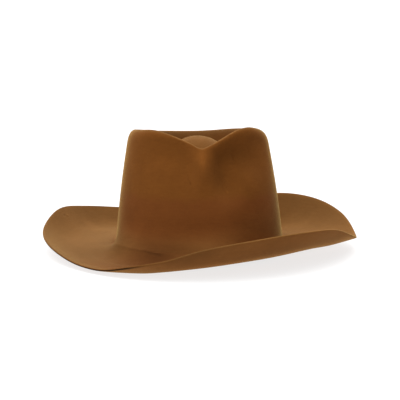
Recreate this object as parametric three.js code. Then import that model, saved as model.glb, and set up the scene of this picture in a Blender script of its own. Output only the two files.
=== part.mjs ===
// A brown felt hat blocked from one hood of fur felt: a tall crown with a teardrop crease and a front
// pinch, and a wide brim without band or binding. Crown and brim are one continuous wall of felt, so the
// hat is one solid. Millimetres, +Z up. The wearer looks along -Y, and +X is the wearer's left. The hat
// rests on its brim at Z = 0. Angles run round the hat from the front, through the wearer's left at 90,
// the back at 180 and the right at 270.

import * as THREE from "three";
import { ParametricGeometry } from "three/addons/geometries/ParametricGeometry.js";

// Driving sizes.
const HEAD_WIDTH = 172; // outside of the crown where it meets the brim, side to side
const HEAD_LENGTH = 212; // the same, front to back
const CROWN_HEIGHT = 128; // the rim's height above the brim break, at full height
const BRIM_WIDTH = 76; // from the crown out to the cut edge, seen from above
const BRIM_LIFT = 35; // highest that the edge turns up above the brim break
const BRIM_DROP = 6.5; // how far the brim break stands above the table
const FELT_WALL = 2.2; // thickness of the felt
const BREAK_RADIUS = 7; // round of the felt where crown turns into brim
const GROOVE_HEIGHT = 89; // the floor of the groove behind the rim, above the brim break
const MIDDLE_HEIGHT = 111; // top of the raised middle that the groove runs round
const CROWN_LEAN = 2.5; // how far the top of the crown leans to the wearer's right

// Slices round the hat, and rows of faces in each stretch of its section from the middle of the crown to
// the edge.
const SLICE_COUNT = 84;
const ROW_COUNTS = { middle: 5, groove: 6, shoulder: 5, wall: 6, turn: 3, brim: 8 };
const FRONT_CROWDING = 0.24; // how much closer the slices stand at the front, where the pinch is

// Sections of the crown's rim. height is a share of CROWN_HEIGHT, and reach a share of the head oval's
// half size. fullness goes from a crisp fold at 0 to a full round shoulder at 1. groove is where the
// groove behind the rim runs, as a share of the reach.
const RIM = [
  { angle: 5, height: 0.832, reach: 0.66, fullness: 0.04, groove: 0.7 },
  { angle: 12, height: 0.854, reach: 0.665, fullness: 0.06, groove: 0.7 },
  { angle: 25, height: 0.909, reach: 0.69, fullness: 0.13, groove: 0.68 },
  { angle: 38, height: 0.963, reach: 0.715, fullness: 0.2, groove: 0.66 },
  { angle: 52, height: 0.98, reach: 0.722, fullness: 0.48, groove: 0.65 },
  { angle: 70, height: 0.955, reach: 0.728, fullness: 0.72, groove: 0.64 },
  { angle: 90, height: 0.908, reach: 0.745, fullness: 0.78, groove: 0.64 },
  { angle: 135, height: 0.875, reach: 0.76, fullness: 0.75, groove: 0.66 },
  { angle: 180, height: 0.83, reach: 0.78, fullness: 0.75, groove: 0.68 },
  { angle: 225, height: 0.855, reach: 0.77, fullness: 0.8, groove: 0.66 },
  { angle: 270, height: 0.92, reach: 0.735, fullness: 0.75, groove: 0.64 },
  { angle: 300, height: 0.955, reach: 0.73, fullness: 0.65, groove: 0.64 },
  { angle: 318, height: 0.967, reach: 0.72, fullness: 0.45, groove: 0.66 },
  { angle: 336, height: 0.929, reach: 0.69, fullness: 0.1, groove: 0.68 },
  { angle: 352, height: 0.878, reach: 0.665, fullness: 0.04, groove: 0.7 },
];

// Sections of the brim. width is a share of BRIM_WIDTH. middle, roll and edge are heights over the brim
// break at those places across the brim: shares of BRIM_LIFT where they rise and of BRIM_DROP where they
// dip.
const BRIM_PLACES = { middle: 0.45, roll: 0.78, edge: 1 };
const BRIM = [
  { angle: 0, width: 0.97, middle: 0.05, roll: 0.2, edge: 0.66 },
  { angle: 20, width: 0.95, middle: 0.14, roll: 0.38, edge: 0.9 },
  { angle: 40, width: 0.94, middle: 0.18, roll: 0.46, edge: 0.96 },
  { angle: 58, width: 0.95, middle: 0.18, roll: 0.4, edge: 0.84 },
  { angle: 74, width: 0.98, middle: 0.1, roll: 0.22, edge: 0.46 },
  { angle: 90, width: 1.0, middle: 0.04, roll: 0.1, edge: 0.2 },
  { angle: 108, width: 0.98, middle: 0.03, roll: 0.22, edge: 0.57 },
  { angle: 128, width: 0.96, middle: -0.3, roll: 0.26, edge: 0.82 },
  { angle: 145, width: 0.95, middle: -1.4, roll: 0.06, edge: 0.82 },
  { angle: 180, width: 1.0, middle: -1.5, roll: -1.4, edge: 0.15 },
  { angle: 210, width: 1.0, middle: -1.4, roll: -0.6, edge: 0.3 },
  { angle: 230, width: 0.98, middle: -0.4, roll: 0.06, edge: 0.54 },
  { angle: 248, width: 0.97, middle: -0.1, roll: 0.18, edge: 0.7 },
  { angle: 264, width: 0.98, middle: -0.1, roll: 0.12, edge: 0.48 },
  { angle: 282, width: 0.98, middle: -0.4, roll: 0.04, edge: 0.3 },
  { angle: 298, width: 0.97, middle: -1.0, roll: -0.3, edge: 0.14 },
  { angle: 314, width: 0.98, middle: -1.4, roll: -0.7, edge: -0.05 },
  { angle: 326, width: 1.0, middle: -1.3, roll: -0.6, edge: 0 },
  { angle: 333, width: 1.0, middle: -1.2, roll: -0.35, edge: 0.12 },
  { angle: 340, width: 1.0, middle: -0.65, roll: -0.02, edge: 0.24 },
  { angle: 348, width: 0.98, middle: -0.1, roll: 0.06, edge: 0.37 },
];

// Hand-pressed dents of the crown beside the pinch. height, above and below are shares of CROWN_HEIGHT:
// where the dent is deepest, and how far it runs out over and under that. before and after are the
// angles over which it runs out to either side. slant is how far it turns from top to foot of the crown,
// and climb how much higher it gets over a full turn. depth is a share of PINCH_DEPTH, and below zero for
// the felt that the fingers push out between them.
const PINCH_DEPTH = 13; // how deep the fingers press the front of the crown
const DENTS = [
  {
    angle: 23, height: 0.67, depth: 1,
    before: 8, after: 22, above: 0.13, below: 0.12,
    slant: 0, climb: 1.4,
  },
  {
    angle: 53, height: 0.79, depth: 0.7,
    before: 19, after: 15, above: 0.085, below: 0.16,
    slant: 0, climb: 0,
  },
  {
    angle: 346, height: 0.76, depth: 0.35,
    before: 14, after: 8, above: 0.09, below: 0.14,
    slant: 50, climb: 0,
  },
  {
    angle: 322, height: 0.8, depth: 0.25,
    before: 18, after: 14, above: 0.09, below: 0.16,
    slant: 0, climb: 0,
  },
  {
    angle: 3, height: 0.69, depth: -0.22,
    before: 6, after: 6, above: 0.1, below: 0.13,
    slant: 0, climb: 0,
  },
];

const FULL_TURN = 360;
const toRadians = THREE.MathUtils.degToRad;
const wrap = (angle) => THREE.MathUtils.euclideanModulo(angle, FULL_TURN);

// The smooth closed curve through one column of a table whose rows stand at angles round the hat.
function around(rows, column) {
  const count = rows.length;
  const row = (i) => rows[THREE.MathUtils.euclideanModulo(i, count)];
  const value = (i) => row(i)[column];
  const gap = (i) => wrap(row(i + 1).angle - row(i).angle);
  const rise = (i) => (value(i + 1) - value(i)) / gap(i);
  const slope = (i) => (rise(i) * gap(i - 1) + rise(i - 1) * gap(i)) / (gap(i) + gap(i - 1));
  return (angle) => {
    const i = rows.findLastIndex((entry) => entry.angle <= wrap(angle));
    const t = wrap(angle - row(i).angle) / gap(i);
    const [a, b] = [value(i), value(i + 1)];
    const [ta, tb] = [slope(i) * gap(i), slope(i + 1) * gap(i)];
    return a + t * (ta + t * (3 * (b - a) - 2 * ta - tb + t * (2 * (a - b) + ta + tb)));
  };
}

const rimHeight = around(RIM, "height");
const rimReach = around(RIM, "reach");
const rimFullness = around(RIM, "fullness");
const rimGroove = around(RIM, "groove");
const brimShare = around(BRIM, "width");

// A height of the brim's table in millimetres: a share of the lift above the break or of the drop below
// it.
const brimRise = (share) => share * (share > 0 ? BRIM_LIFT : BRIM_DROP);
const brimHeights = Object.keys(BRIM_PLACES).map((place) => {
  const rows = BRIM.map((row) => ({ angle: row.angle, up: brimRise(row[place]) }));
  return { at: BRIM_PLACES[place], up: around(rows, "up") };
});

const WALL_BULGE = new THREE.Vector2(2, 0); // how the wall of the crown is drawn outward at half height

// The shoulder under the rim, from a crisp fold to a full round one: how far it drops, as a share of
// CROWN_HEIGHT, and how far it comes out, as a share of the way from the rim to the foot of the wall.
const FOLD = { drop: 0.02, out: 0.07 };
const ROUND = { drop: 0.18, out: 0.57 };

// How far each curve of the crown runs on in the direction that it starts or ends in, as shares of its own
// size.
const RUN_ON = {
  middleTop: 0.6,
  middleFoot: 0.25,
  grooveFloor: 0.45,
  rimInside: 0.4,
  rimOutside: 0.7,
  shoulder: 0.45,
};

// Half of the head oval's width. Sections are drawn along this side axis and stretched round the oval.
const HALF_WIDTH = HEAD_WIDTH / 2;
const STRETCH = HEAD_LENGTH / HEAD_WIDTH;

// The section at one angle as curves from the middle of the crown out to the brim's edge, in the plane of
// the distance from the middle and the height above the brim break.
function section(angle) {
  const point = (out, up) => new THREE.Vector2(out, up);
  const rim = point(rimReach(angle) * HALF_WIDTH, rimHeight(angle) * CROWN_HEIGHT);
  const groove = point(rim.x * rimGroove(angle), GROOVE_HEIGHT);
  const fullness = rimFullness(angle);
  const shoulderDrop = CROWN_HEIGHT * THREE.MathUtils.lerp(FOLD.drop, ROUND.drop, fullness);
  const shoulderOut = (HALF_WIDTH - rim.x) * THREE.MathUtils.lerp(FOLD.out, ROUND.out, fullness);
  const shoulder = point(rim.x + shoulderOut, rim.y - shoulderDrop);
  const turnTop = point(HALF_WIDTH, BREAK_RADIUS);
  const width = BRIM_WIDTH * brimShare(angle);
  const brimStart = brimPoint(angle, width, BREAK_RADIUS / width);
  return {
    middle: new THREE.CubicBezierCurve(
      point(0, MIDDLE_HEIGHT),
      point(groove.x * RUN_ON.middleTop, MIDDLE_HEIGHT),
      point(groove.x * (1 - RUN_ON.middleFoot), groove.y),
      groove,
    ),
    groove: new THREE.CubicBezierCurve(
      groove,
      point(groove.x + (rim.x - groove.x) * RUN_ON.grooveFloor, groove.y),
      point(rim.x - (rim.x - groove.x) * RUN_ON.rimInside, rim.y),
      rim,
    ),
    shoulder: new THREE.CubicBezierCurve(
      rim,
      point(rim.x + shoulderOut * RUN_ON.rimOutside, rim.y),
      wallEase(shoulder, turnTop, shoulderDrop * RUN_ON.shoulder),
      shoulder,
    ),
    wall: new THREE.QuadraticBezierCurve(
      shoulder,
      shoulder.clone().lerp(turnTop, 0.5).add(WALL_BULGE),
      turnTop,
    ),
    turn: new THREE.QuadraticBezierCurve(turnTop, point(HALF_WIDTH, brimStart.y), brimStart),
  };
}

// A point a little above the shoulder, on the line of the wall, so that shoulder and wall run on smoothly.
function wallEase(shoulder, turnTop, length) {
  return shoulder.clone().sub(turnTop).setLength(length).add(shoulder);
}

// A point of the brim at a share of its width from the crown.
function brimPoint(angle, width, share) {
  const knots = [{ at: 0, up: 0 }, ...brimHeights.map(({ at, up }) => ({ at, up: up(angle) }))];
  return new THREE.Vector2(HALF_WIDTH + share * width, through(knots, share));
}

const EDGE_CURL = 0.25; // how much of its bend the felt keeps on from the roll out to the edge

// The smooth curve through a few knots, at a share of the way.
function through(knots, share) {
  const last = knots.length - 1;
  const rise = (i) => (knots[i + 1].up - knots[i].up) / (knots[i + 1].at - knots[i].at);
  const slope = (i) => {
    if (i === 0) return rise(0);
    if (i === last) return rise(last - 1) + EDGE_CURL * (rise(last - 1) - rise(last - 2));
    const before = knots[i].at - knots[i - 1].at;
    const after = knots[i + 1].at - knots[i].at;
    return (rise(i) * before + rise(i - 1) * after) / (before + after);
  };
  let i = 0;
  while (i < last - 1 && share > knots[i + 1].at) i += 1;
  const run = knots[i + 1].at - knots[i].at;
  const t = (share - knots[i].at) / run;
  const [a, b] = [knots[i].up, knots[i + 1].up];
  const [ta, tb] = [slope(i) * run, slope(i + 1) * run];
  return a + t * (ta + t * (3 * (b - a) - 2 * ta - tb + t * (2 * (a - b) + ta + tb)));
}

// Where each stretch of the section starts along the rows, and how many rows there are from middle to
// edge.
const STRETCHES = Object.keys(ROW_COUNTS);
const OUTER_ROWS = STRETCHES.reduce((sum, name) => sum + ROW_COUNTS[name], 0);

// The point of the section at a row that may lie between two whole rows.
function sectionPoint(angle, row) {
  const curves = section(angle);
  let rest = Math.min(row, OUTER_ROWS);
  for (const name of STRETCHES) {
    if (rest <= ROW_COUNTS[name] + 1e-9) {
      const share = rest / ROW_COUNTS[name];
      if (name !== "brim") return curves[name].getPoint(share);
      const width = BRIM_WIDTH * brimShare(angle);
      const start = BREAK_RADIUS / width;
      return brimPoint(angle, width, start + share * (1 - start));
    }
    rest -= ROW_COUNTS[name];
  }
  throw new Error("the row lies past the edge");
}

// How far the dents press the felt in at an angle and a height over the brim break.
function dented(angle, up) {
  return DENTS.reduce((sum, dent) => {
    const over = up / CROWN_HEIGHT - dent.height;
    const turn = wrap(angle - dent.angle + dent.slant * over + FULL_TURN / 2) - FULL_TURN / 2;
    const across = turn / (turn > 0 ? dent.after : dent.before);
    const climbed = over - (dent.climb * turn) / FULL_TURN;
    const along = climbed / (climbed > 0 ? dent.above : dent.below);
    return sum + dent.depth * PINCH_DEPTH * Math.exp(-across * across - along * along);
  }, 0);
}

const DENTS_START = 0.8; // share of the rim's reach, inside which the dents don't move the felt

// The outer skin of the felt at an angle and a row.
function skin(angle, row) {
  const drawn = sectionPoint(angle, row);
  const wallShare = THREE.MathUtils.smoothstep(drawn.x / (rimReach(angle) * HALF_WIDTH), DENTS_START, 1);
  const out = drawn.x - wallShare * dented(angle, drawn.y);
  const inside = Math.min(out, HALF_WIDTH);
  const beyond = out - inside;
  const turn = toRadians(angle);
  const lean = (CROWN_LEAN * Math.max(drawn.y, 0)) / CROWN_HEIGHT;
  return new THREE.Vector3(
    out * Math.sin(turn) - lean,
    -(inside * STRETCH + beyond) * Math.cos(turn),
    rested(drawn.y + BRIM_DROP),
  );
}

const TABLE_EASE = 1.5; // height over which the felt eases down to lie flat on the table

// The height of the felt's top side over the table: where it would sink lower, it lies flat.
function rested(up) {
  const blend = Math.max(TABLE_EASE - Math.abs(up - FELT_WALL), 0) / TABLE_EASE;
  return Math.max(up, FELT_WALL) + (blend * blend * TABLE_EASE) / 4;
}

const CLEAR_OF_MIDDLE = 0.05; // least row at which the skin still has a direction round the hat

// The direction out of the felt's outer skin.
function facing(angle, row) {
  const nudge = { angle: 0.5, row: 0.02 };
  const near = Math.max(row, CLEAR_OF_MIDDLE);
  const round = skin(angle + nudge.angle, near).sub(skin(angle - nudge.angle, near));
  const ahead = Math.min(near + nudge.row, OUTER_ROWS);
  const along = skin(angle, ahead).sub(skin(angle, near - nudge.row));
  return along.cross(round).normalize();
}

// Shares of the wall's thickness at the rows that round the cut edge, from the top side to the underside.
const EDGE_ROUND = [
  { down: 0.2, out: 0.3 },
  { down: 0.8, out: 0.3 },
];
const ALL_ROWS = 2 * OUTER_ROWS + EDGE_ROUND.length + 1;

// The closed skin of the felt: out along the top side, round the cut edge, and back along the underside.
function feltSkin(turn, share, target) {
  const round = 2 * Math.PI * turn;
  const angle = -THREE.MathUtils.radToDeg(round - FRONT_CROWDING * Math.sin(round));
  const row = Math.round(share * ALL_ROWS);
  if (row <= OUTER_ROWS) {
    target.copy(skin(angle, row));
    return;
  }
  const edgeRow = row - OUTER_ROWS - 1;
  if (edgeRow < EDGE_ROUND.length) {
    const { down, out } = EDGE_ROUND[edgeRow];
    const edge = skin(angle, OUTER_ROWS);
    const outward = edge.clone().sub(skin(angle, OUTER_ROWS - 0.5)).normalize();
    target.copy(edge);
    target.addScaledVector(facing(angle, OUTER_ROWS), -down * FELT_WALL);
    target.addScaledVector(outward, out * FELT_WALL);
  } else {
    const inner = ALL_ROWS - row;
    target.copy(skin(angle, inner)).addScaledVector(facing(angle, inner), -FELT_WALL);
    if (inner === 0) target.copy(skin(0, 0)).setZ(skin(0, 0).z - FELT_WALL);
  }
  // The felt lies flat where the hat rests on it.
  target.z = Math.max(target.z, 0);
}

function felt() {
  const geometry = new ParametricGeometry(feltSkin, SLICE_COUNT, ALL_ROWS);
  // The origin is on the table under the middle of the hat's outline.
  geometry.computeBoundingBox();
  const centre = geometry.boundingBox.getCenter(new THREE.Vector3());
  geometry.translate(-centre.x, -centre.y, 0);
  const material = new THREE.MeshStandardMaterial({ color: 0x7a4a22, roughness: 0.95, metalness: 0 });
  const mesh = new THREE.Mesh(geometry, material);
  mesh.name = "felt_body";
  return mesh;
}

const hat = new THREE.Group();
hat.add(felt());
export default hat;
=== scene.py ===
import math

import bpy
import numpy as np
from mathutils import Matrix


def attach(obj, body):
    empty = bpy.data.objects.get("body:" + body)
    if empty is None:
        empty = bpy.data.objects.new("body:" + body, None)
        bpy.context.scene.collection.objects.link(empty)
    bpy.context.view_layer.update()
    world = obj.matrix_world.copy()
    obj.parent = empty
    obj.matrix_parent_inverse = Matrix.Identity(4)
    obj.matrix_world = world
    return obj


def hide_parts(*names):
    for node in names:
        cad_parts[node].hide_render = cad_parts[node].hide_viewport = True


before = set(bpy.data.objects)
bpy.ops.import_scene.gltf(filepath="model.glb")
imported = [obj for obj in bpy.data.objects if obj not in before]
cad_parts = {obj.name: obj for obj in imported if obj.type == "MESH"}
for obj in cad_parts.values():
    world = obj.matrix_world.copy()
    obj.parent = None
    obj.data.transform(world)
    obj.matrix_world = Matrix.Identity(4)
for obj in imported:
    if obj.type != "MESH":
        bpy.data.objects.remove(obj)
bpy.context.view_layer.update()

bpy.ops.object.select_all(action="DESELECT")


# Camera. It looks at the front of the hat from a little above, from two metres away through a long lens, so that
# crown and brim keep the flat look of the photograph. The photograph is 400 pixels wide.
camera_height_angle = math.radians(9)
camera_distance = 2.0
metres_per_pixel = 0.001035
photo_width_pixels = 400
look_at = (0.0002, 0.0, 0.050)

bpy.ops.object.camera_add(
    location=(
        look_at[0],
        look_at[1] - camera_distance * math.cos(camera_height_angle),
        look_at[2] + camera_distance * math.sin(camera_height_angle),
    ),
    rotation=(math.radians(90) - camera_height_angle, 0, 0),
)
camera = bpy.context.object
camera.name = "camera"
camera.data.sensor_width = 36
camera.data.lens = camera.data.sensor_width * camera_distance / (metres_per_pixel * photo_width_pixels)
camera.data.clip_end = 50
bpy.context.scene.camera = camera


# Felt body. One hood of brown fur felt, steamed and pulled over a block: crown and brim are one wall, 2.2 mm thick,
# with a raw cut edge. It has the solid's shape, rounded off between its facets and finished with the thumbs.
millimetre = 0.001
weld_distance = 0.01 * millimetre
sharpest_join = math.radians(70)
rounding_levels = 2

felt_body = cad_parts["felt_body"]
bpy.context.view_layer.objects.active = felt_body
felt_body.select_set(True)
bpy.ops.object.duplicate()
hat = bpy.context.object
hat.name = "felt_hat"

bpy.ops.object.mode_set(mode="EDIT")
bpy.ops.mesh.select_all(action="SELECT")
bpy.ops.mesh.remove_doubles(threshold=weld_distance)
bpy.ops.mesh.tris_convert_to_quads(face_threshold=sharpest_join, shape_threshold=sharpest_join)
bpy.ops.object.mode_set(mode="OBJECT")

rounding = hat.modifiers.new("rounding", "SUBSURF")
rounding.levels = rounding_levels
rounding.render_levels = rounding_levels
bpy.ops.object.modifier_apply(modifier=rounding.name)
bpy.ops.object.shade_smooth()


def points_of(mesh):
    """Where a mesh's vertices lie, in millimetres, and the directions that they face, as rows of two arrays."""
    places = np.empty(len(mesh.vertices) * 3)
    facing = np.empty(len(mesh.vertices) * 3)
    mesh.vertices.foreach_get("co", places)
    mesh.vertex_normals.foreach_get("vector", facing)
    return places.reshape(-1, 3) / millimetre, facing.reshape(-1, 3)


def move_points(mesh, places):
    mesh.vertices.foreach_set("co", (places * millimetre).ravel())
    mesh.update()


def ease(values, start, end):
    """Go softly from 0 at the start to 1 at the end, which may also be the lower of the two."""
    share = np.clip((values - start) / (end - start), 0, 1)
    return share * share * (3 - 2 * share)


def spot(places, middle, reach):
    """How much a touch at the middle is felt at each place, as it fades over its reach along X, Y and Z."""
    return np.exp(-(((places - middle) / reach) ** 2).sum(axis=1))


# The foot of the crown is an oval, given by its half width and half length. At the front left of the picture the felt
# turns from crown to brim on a broad round, which comes and goes between angles counted from the front.
crown_foot = (86, 106)
brim_level = 6
broad_turn = 34
broad_turn_comes = (-85, -50)
broad_turn_goes = (35, 0)


def turn_broadly(places):
    """Ease the felt out of the corner at the crown's foot onto a round of its own, and keep its thickness."""
    reach = np.hypot(places[:, 0], places[:, 1])
    outward = places[:, :2] / reach[:, None]
    foot_reach = 1 / np.linalg.norm(outward / crown_foot, axis=1)
    out = np.maximum(reach - foot_reach, 0)
    up = np.maximum(places[:, 2] - brim_level, 0)
    from_middle = np.stack((out - broad_turn, up - broad_turn), axis=1)
    far = np.linalg.norm(from_middle, axis=1)
    shift = from_middle * (broad_turn / far - 1)[:, None]
    angle = np.degrees(np.arctan2(places[:, 0], -places[:, 1]))
    share = ease(angle, *broad_turn_comes) * ease(angle, *broad_turn_goes)
    share = share * (out < broad_turn) * (up < broad_turn) * (far > broad_turn)
    moved = places.copy()
    moved[:, :2] += outward * (shift[:, 0] * share)[:, None]
    moved[:, 2] += shift[:, 1] * share
    return moved


# The press of a thumb lets the deep dent run out softly below.
thumb = {"middle": (25, -82, 70), "reach": (14, 20, 14), "push": (-0.6, 2.6, 0)}
places, facing = points_of(hat.data)
pressed = spot(places, thumb["middle"], thumb["reach"])[:, None] * thumb["push"]
move_points(hat.data, turn_broadly(places) + pressed)

# Small wrinkles and nicks that wear has left, in millimetres. height is how far one stands up, or lies under the felt
# around it where it is below zero.
wrinkles = [
    {"line": [(-58, -95, 15), (-49, -102, 13), (-39, -110, 12)], "half_width": 1.4, "height": -0.18},
    {"line": [(-11.7, -83.5, 83.3), (-9.7, -84.8, 81), (-9.4, -85.4, 79.4)], "half_width": 0.8, "height": -0.25},
    {"line": [(26.5, -78.3, 71), (28, -78.9, 69.4)], "half_width": 0.8, "height": 0.3},
    {"line": [(-142, 65.7, 23.3), (-141, 67, 23)], "half_width": 0.9, "height": 0.5},
    {"line": [(-145, 60, 24), (-144, 63.5, 23.8)], "half_width": 0.7, "height": -0.4},
]
finer_within = 4
finer_cuts = 2


def from_line(places, line):
    """How far each place lies from a line of points, in millimetres."""
    nearest = np.full(len(places), np.inf)
    for start, end in zip(np.array(line[:-1], float), np.array(line[1:], float)):
        along = end - start
        share = np.clip((places - start) @ along / (along @ along), 0, 1)
        nearest = np.minimum(nearest, np.linalg.norm(places - start - share[:, None] * along, axis=1))
    return nearest


# The faces near the wrinkles are cut finer first.
middles = np.array([face.center for face in hat.data.polygons]) / millimetre
worn = np.min([from_line(middles, wrinkle["line"]) for wrinkle in wrinkles], axis=0) < finer_within
bpy.ops.object.mode_set(mode="EDIT")
bpy.ops.mesh.select_mode(type="FACE")
bpy.ops.mesh.select_all(action="DESELECT")
bpy.ops.object.mode_set(mode="OBJECT")
hat.data.polygons.foreach_set("select", worn)
bpy.ops.object.mode_set(mode="EDIT")
bpy.ops.mesh.subdivide(number_cuts=finer_cuts)
bpy.ops.object.mode_set(mode="OBJECT")

places, facing = points_of(hat.data)
# Each wrinkle's height also goes into the brown: painted shade where it is sunk, a painted highlight where it stands
# up.
wrinkle_shading = np.zeros(len(places))
for wrinkle in wrinkles:
    raised = wrinkle["height"] * np.exp(-((from_line(places, wrinkle["line"]) / wrinkle["half_width"]) ** 2))
    places += facing * raised[:, None]
    wrinkle_shading += raised
move_points(hat.data, places)


def bend_of(mesh, rounds):
    """How sharply the felt bends at each vertex, evened out in rounds: above zero on folds, below it in creases."""
    places, facing = points_of(mesh)
    ends = np.empty(len(mesh.edges) * 2, dtype=np.int64)
    mesh.edges.foreach_get("vertices", ends)
    first, second = ends.reshape(-1, 2).T
    count = np.bincount(np.concatenate((first, second)), minlength=len(places))
    along = places[second] - places[first]
    turn = ((facing[second] - facing[first]) * along).sum(axis=1) / (along**2).sum(axis=1)
    bend = (np.bincount(first, turn, len(places)) + np.bincount(second, turn, len(places))) / count
    for _ in range(rounds):
        near = np.bincount(first, bend[second], len(places)) + np.bincount(second, bend[first], len(places))
        bend = (bend + near / count) / 2
    return bend


def from_edge(places, slices=240):
    """How far each place lies from the brim's cut edge, which is found slice by slice, in millimetres."""
    angle = np.arctan2(places[:, 0], -places[:, 1])
    reach = np.hypot(places[:, 0], places[:, 1])
    part = ((angle / (2 * np.pi) + 0.5) * slices).astype(int) % slices
    order = np.lexsort((reach, part))
    outermost = order[np.append(np.diff(part[order]) > 0, True)]
    ring = outermost[np.argsort(angle[outermost])]
    edge_reach = np.interp(angle, angle[ring], reach[ring], period=2 * np.pi)
    edge_height = np.interp(angle, angle[ring], places[ring, 2], period=2 * np.pi)
    return np.hypot(reach - edge_reach, places[:, 2] - edge_height)


def mark(name, share):
    """Keep a share from 0 to 1 at each vertex, for the felt's material to read."""
    layer = hat.data.attributes.new(name, "FLOAT", "POINT")
    layer.data.foreach_set("value", np.clip(share, 0, 1).astype(np.float32))


# Soft spots of painted light and shade in the felt's brown, in millimetres, and how much lighter each is, or darker
# where that is below zero:
# first the crown from its lip down, and then the brim. They were set to match the brightness of one photograph:
# painted highlights on the lip, on the ridge under it and at the crown's upper left, and painted shade in and below
# the dents, at the crown's right edge and on the brim, most in its dip at the front left. Leave them out to light the
# hat in another way.
painted_spots = [
    {"middle": (3, -75, 109), "reach": (10, 12, 7), "lighter": 0.26},
    {"middle": (3, -80, 101), "reach": (4, 12, 8), "lighter": 0.26},
    {"middle": (-28, -72, 100), "reach": (16, 16, 10), "lighter": 0.1},
    {"middle": (40, -70, 106), "reach": (26, 20, 11), "lighter": -0.26},
    {"middle": (20, -78, 86), "reach": (12, 12, 13), "lighter": -0.22},
    {"middle": (62, -52, 70), "reach": (26, 30, 30), "lighter": -0.06},
    {"middle": (31, -79, 68), "reach": (12, 14, 9), "lighter": -0.08},
    {"middle": (86, -20, 55), "reach": (10, 40, 34), "lighter": -0.42},
    {"middle": (-46, -116, 9), "reach": (40, 36, 20), "lighter": -0.42},
    {"middle": (-100, -60, 5), "reach": (36, 50, 20), "lighter": -0.14},
    {"middle": (100, -70, 14), "reach": (30, 34, 20), "lighter": -0.1},
    {"middle": (0, -182, 25), "reach": (44, 9, 12), "lighter": -0.2},
]
places, facing = points_of(hat.data)
painted_light_and_shade = 0.45 * wrinkle_shading
for painted_spot in painted_spots:
    painted_light_and_shade += painted_spot["lighter"] * spot(places, painted_spot["middle"], painted_spot["reach"])
mark("painted_light_and_shade", 0.5 + painted_light_and_shade)

# Folds of the crown get a painted highlight, and its creases and the hollow behind the lip painted shade.
side = places[:, 0]
height = places[:, 2]
facing_up = facing[:, 2]
facing_in = -(places[:, :2] * facing[:, :2]).sum(axis=1) / np.hypot(places[:, 0], places[:, 1])
edge_distance = from_edge(places)
on_brim = ease(edge_distance, 78, 60)
mark("fold_highlight", ease(bend_of(hat.data, rounds=2), 0.15, 0.36) * (1 - on_brim))
mark("crease_shade", ease(-bend_of(hat.data, rounds=10), 0.012, 0.06) * ease(height, 60, 80))
mark("well_shade", ease(facing_in, 0.1, 0.5) * ease(height, 92, 98))

# The cut edge is darker where it lies low at the left and faces down, and gets a painted highlight at the right where
# it faces up. The brim and the top of the dome are a paler brown, a painted sheen on their upward faces, half as
# strong on the brim's lower faces and missing in the painted shade of the dip at the front left. Dirt and fading are
# guesses.
low_left = ease(side, -50, -72) * ease(height, 26, 18)
right_side = ease(side, 25, 60)
upper_face = ease(facing_up, -0.1, 0.3)
shaded_front_dip = 0.95 * spot(places, (-56, -124, 10), (58, 48, 24)) * upper_face
brim_sheen = ease(edge_distance, 84, 66) * (0.5 + 0.5 * upper_face) * (1 - shaded_front_dip)
dome_sheen = 0.7 * ease(height, 98, 106) * ease(facing_up, 0.5, 0.9)
mark("darker_low_edge", ease(edge_distance, 3.2, 2.2) * ease(facing_up, 0.5, 0.1) * low_left)
mark("edge_highlight", ease(edge_distance, 3.5, 1.5) * ease(facing_up, -0.1, 0.4) * right_side)
# The brim's underside gets painted light from the floor below.
mark("underside_light", ease(facing_up, -0.72, -0.97) * on_brim)
mark("painted_sheen", np.maximum(dome_sheen, brim_sheen))


class Socket:
    """A shader socket that adds Math nodes when it is used in a Python expression."""

    def __init__(self, tree, socket):
        self.tree = tree
        self.socket = socket

    def math(self, operation, *values):
        return self.tree.add("ShaderNodeMath", {"operation": operation}, dict(enumerate(values)))

    def __add__(self, other):
        return self.math("ADD", self, other)

    def __sub__(self, other):
        return self.math("SUBTRACT", self, other)

    def __rsub__(self, other):
        return self.math("SUBTRACT", other, self)

    def __mul__(self, other):
        return self.math("MULTIPLY", self, other)

    def __rmul__(self, other):
        return self.math("MULTIPLY", other, self)

    def __truediv__(self, other):
        return self.math("DIVIDE", self, other)

    def __pow__(self, other):
        return self.math("POWER", self, other)

    def clamp(self, low, high):
        return self.math("MAXIMUM", self.math("MINIMUM", self, high), low)


class Nodes:
    """The nodes of a material or a world, each added by its type, its settings and the values or links it takes."""

    def __init__(self, owner, surface):
        owner.use_nodes = True
        self.nodes = owner.node_tree.nodes
        self.links = owner.node_tree.links
        self.surface = self.nodes[surface]

    def link(self, value, target):
        if isinstance(value, Socket):
            self.links.new(value.socket, target)
        else:
            target.default_value = value

    def add(self, kind, settings=None, inputs=None, output=0):
        node = self.nodes.new(kind)
        for name, value in (settings or {}).items():
            setattr(node, name, value)
        for name, value in (inputs or {}).items():
            self.link(value, node.inputs[name])
        return Socket(self, node.outputs[output])

    def set(self, values):
        for name, value in values.items():
            self.link(value, self.surface.inputs[name])

    def mix(self, factor, first, second, blend="MIX"):
        settings = {"data_type": "RGBA", "blend_type": blend}
        return self.add("ShaderNodeMix", settings, {0: factor, 6: first, 7: second}, output=2)

    def noise(self, vector, scale, detail, roughness, turn=None):
        inputs = {"Vector": vector, "Scale": scale, "Detail": detail, "Roughness": roughness}
        settings = {}
        if turn is not None:
            settings["noise_dimensions"] = "4D"
            inputs["W"] = turn
        return self.add("ShaderNodeTexNoise", settings, inputs)


def from_srgb(red, green, blue):
    """A colour as it is read off a picture, made linear for a shader."""
    return tuple(((c / 255 + 0.055) / 1.055) ** 2.4 for c in (red, green, blue)) + (1.0,)


def marked(name):
    return felt.add("ShaderNodeAttribute", {"attribute_name": name}, output=2)


brown_felt = bpy.data.materials.new("brown_felt")
felt = Nodes(brown_felt, "Principled BSDF")
place = felt.add("ShaderNodeTexCoord", output="Object")
x, y, z = (felt.add("ShaderNodeSeparateXYZ", inputs={"Vector": place}, output=axis) for axis in "XYZ")

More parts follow.
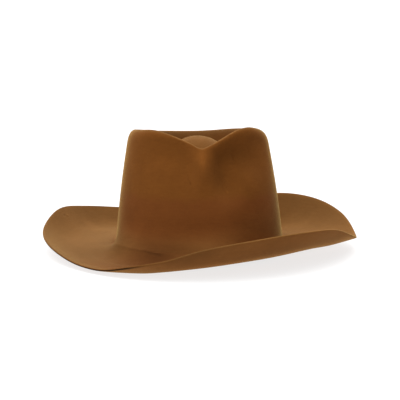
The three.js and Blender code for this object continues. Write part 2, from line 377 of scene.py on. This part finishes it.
# The nap is brushed round the hat, so its streaks run round the middle: long round it, short across it.
streaks_across = 520
streaks_round = 9
reach = (x * x + y * y + 1e-6) ** 0.5
across = {"X": reach * streaks_across, "Y": z * streaks_across, "Z": x / reach * streaks_round}
streak_place = felt.add("ShaderNodeCombineXYZ", inputs=across)
streaks = felt.noise(streak_place, scale=1, detail=3, roughness=0.6, turn=y / reach * streaks_round)
clouds = felt.noise(place, scale=11, detail=2, roughness=0.5)
patches = felt.noise(place, scale=55, detail=3, roughness=0.6)
nap = felt.noise(place, scale=380, detail=3, roughness=0.65)
fibres = felt.noise(place, scale=1700, detail=3, roughness=0.7)
grain = (clouds - 0.5) * 0.8 + (patches - 0.5) * 0.6 + (streaks - 0.5) * 0.5
grain = grain + (nap - 0.5) * 0.35 + (fibres - 0.5) * 0.3
tone = (grain + 0.5).clamp(0, 1)

# The lowest part of the crown is a deeper brown in the photograph, and the brim is the palest. The browns were fitted
# to the photograph together with the lights, so how much is felt and how much is light is not known.
deep_below = 0.064
deep_waviness = 0.012
deep_softness = 0.008
kept_deep = ((deep_below - z + (patches - 0.5) * deep_waviness) / deep_softness + 0.5).clamp(0, 1)
crown_brown = felt.mix(tone, from_srgb(97, 56, 19), from_srgb(119, 71, 28))
deep_brown = felt.mix(tone, from_srgb(97, 54, 21), from_srgb(117, 67, 29))
# The paler brown is a painted sheen on the upward faces of the brim and the dome.
sheen_brown = felt.mix(tone, from_srgb(98, 65, 29), from_srgb(121, 82, 42))
# A pale brown for the painted highlight on folds.
fold_highlight_brown = from_srgb(176, 124, 70)
brown = felt.mix(marked("painted_sheen"), felt.mix(kept_deep, crown_brown, deep_brown), sheen_brown)
# The brown is multiplied by the painted light and shade of the spots and wrinkles, painted shade in the creases and
# the hollow behind the lip, painted light from the floor on the brim's underside and the painted highlight on the cut
# edge at the right, and made darker on the cut edge low at the left. The underside and the hollow were set to match
# the photograph.
painted_shading = marked("painted_light_and_shade") + 0.5 - 0.1 * marked("crease_shade") - 0.3 * marked("well_shade")
painted_shading = painted_shading + 0.6 * marked("underside_light") - 0.85 * marked("darker_low_edge") + 0.2 * marked("edge_highlight")
shaded_brown = felt.mix(1.0, brown, painted_shading, blend="MULTIPLY")
nap_height = (nap - 0.5) * 0.4 + (fibres - 0.5) * 0.4 + (streaks - 0.5) * 0.5
felt.set(
    {
        "Base Color": felt.mix(0.45 * marked("fold_highlight"), shaded_brown, fold_highlight_brown),
        "Roughness": 0.92,
        "Specular IOR Level": 0.05,
        "Sheen Weight": 0.4,
        "Sheen Roughness": 0.24,
        "Sheen Tint": from_srgb(255, 220, 134),
        "Normal": felt.add(
            "ShaderNodeBump", inputs={"Height": nap_height, "Strength": 0.4, "Distance": 0.6 * millimetre}
        ),
    }
)
hat.data.materials.clear()
hat.data.materials.append(brown_felt)
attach(hat, "root")
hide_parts("felt_body")


# Floor and light. A matt white sheet of paper that glows a little, under a soft studio dome. The dome is brightest
# overhead and behind the hat, so the brim is its bright part and the front of the crown stays dark.
floor_size = 24
floor_drop = 0.2 * millimetre
bpy.ops.object.select_all(action="DESELECT")
bpy.ops.mesh.primitive_plane_add(size=floor_size, location=(0, 0, -floor_drop))
floor = bpy.context.object
floor.name = "floor"
white_paper = bpy.data.materials.new("white_paper")
Nodes(white_paper, "Principled BSDF").set(
    {
        "Base Color": (0.25, 0.25, 0.25, 1.0),
        "Roughness": 0.9,
        "Specular IOR Level": 0.1,
        "Emission Color": (1.0, 1.0, 1.0, 1.0),
        "Emission Strength": 0.77,
    }
)
floor.data.materials.append(white_paper)

# Soft lights round the dome: where each comes from, and its strength, which was fitted to the photograph. Each fades
# evenly to its sides.
soft_lights = [
    {"from": (0.0, 0.0, 1.0), "strength": 4.3},
    {"from": (-0.05, 0.8, 0.6), "strength": 3.9},
    {"from": (0.6, 0.6, 0.53), "strength": 0.4},
    {"from": (-0.9, 0.0, 0.44), "strength": 0.75},
    {"from": (-0.6, -0.6, 0.53), "strength": 0.75},
    {"from": (0.0, -0.8, 0.6), "strength": 0.6},
]
light_tightness = 6.0
studio = bpy.data.worlds.new("studio_dome")
dome = Nodes(studio, "Background")
looking = dome.add("ShaderNodeTexCoord")
glow = 0.0
for light in soft_lights:
    directions = {0: looking, 1: light["from"]}
    towards = dome.add("ShaderNodeVectorMath", {"operation": "DOT_PRODUCT"}, directions, output="Value")
    glow = towards.clamp(0, 1) ** light_tightness * light["strength"] + glow
dome.set({"Color": (1.0, 1.0, 1.0, 1.0), "Strength": glow})
bpy.context.scene.world = studio
bpy.context.scene.view_settings.view_transform = "Standard"
